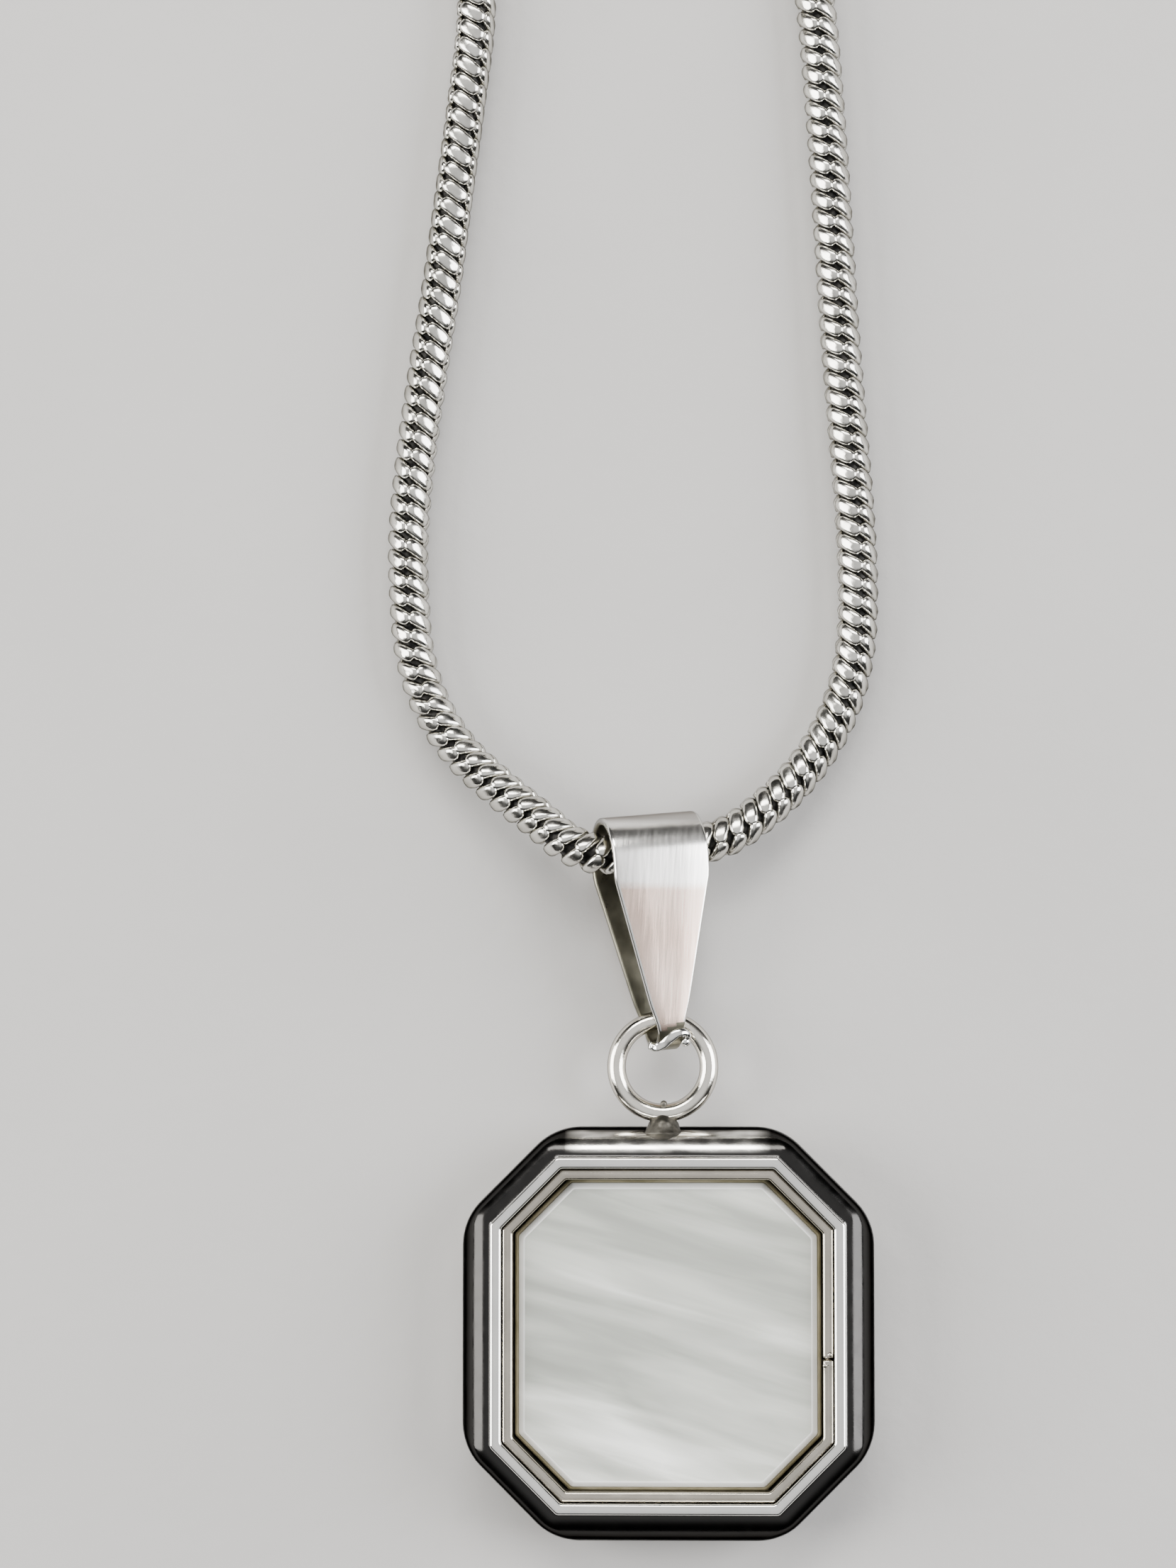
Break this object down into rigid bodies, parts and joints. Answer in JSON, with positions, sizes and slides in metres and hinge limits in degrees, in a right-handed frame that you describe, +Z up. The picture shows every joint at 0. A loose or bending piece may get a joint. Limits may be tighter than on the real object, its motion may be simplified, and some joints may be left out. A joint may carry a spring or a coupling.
{
  "type": "pendant necklace",
  "caption": "Eight-sided metal pendant with a shell panel, hung by a ring and folded bail on a flexible woven chain with a spring ring clasp.",
  "frame": {"origin": "middle of the flat back of the pendant's case, which lies on the table", "axes": "+Z up out of the pendant's front face, +Y from the case towards the bail and the chain, +X to the right seen from the front"},
  "size_m": [0.0337, 0.1096, 0.0055],
  "materials": {
    "polished_steel": "polished stainless steel with fine handling scratches",
    "satin_steel": "satin brushed along the strip, with polished edges",
    "chain_metal": "polished beads with dark gaps between them",
    "shell": "polished mother of pearl with soft silky bands",
    "solder": "dull welded joint",
    "adhesive": "cured clear adhesive",
    "spring_steel": "drawn spring wire"
  },
  "bodies": {
    "pendant": {"pendant_case": "polished_steel", "bezel_strip": "polished_steel", "shell_inlay": "shell", "adhesive_pad": "adhesive", "hanger_post": "solder", "hanger_ring": "polished_steel"},
    "bail": {"bail": "satin_steel"},
    "chain": {"chain_left": "chain_metal", "chain_right": "chain_metal", "chain_coil": "chain_metal", "tail_left": "chain_metal", "tail_right": "chain_metal", "end_cap_left": "polished_steel", "end_cap_right": "polished_steel"},
    "clasp": {"clasp_body": "polished_steel", "clasp_eye": "polished_steel", "clasp_spring": "spring_steel"},
    "latch": {"clasp_latch": "polished_steel"},
    "end_ring": {"end_ring": "polished_steel"}
  },
  "joints": [
    {"name": "bail_swing", "type": "hinge", "parent": "pendant", "child": "bail", "pos_m": [-0.00025, 0.01515, 0.0024], "axis": [1, 0, 0], "range_deg": [-100, 100]},
    {"name": "chain_swing", "type": "hinge", "parent": "bail", "child": "chain", "pos_m": [-0.00085, 0.02345, 0.0028], "axis": [0.9809, 0.087, -0.174], "range_deg": [-45, 45]},
    {"name": "clasp_turn", "type": "hinge", "parent": "chain", "child": "clasp", "pos_m": [0.01098, 0.0951, 0.00095], "axis": [0, 0, 1], "range_deg": [-8, 50]},
    {"name": "latch_slide", "type": "hinge", "parent": "clasp", "child": "latch", "pos_m": [0.0155, 0.09398, 0.00095], "axis": [0, 0, -1], "range_deg": [0, 44], "stiffness_Nm_per_rad": 0.0004, "springref_deg": -20.05, "deforming": ["clasp_spring"]},
    {"name": "end_ring_turn", "type": "hinge", "parent": "chain", "child": "end_ring", "pos_m": [-0.00536, 0.0852, 0.00095], "axis": [0, 0, 1], "range_deg": [-30, 30]}
  ]
}
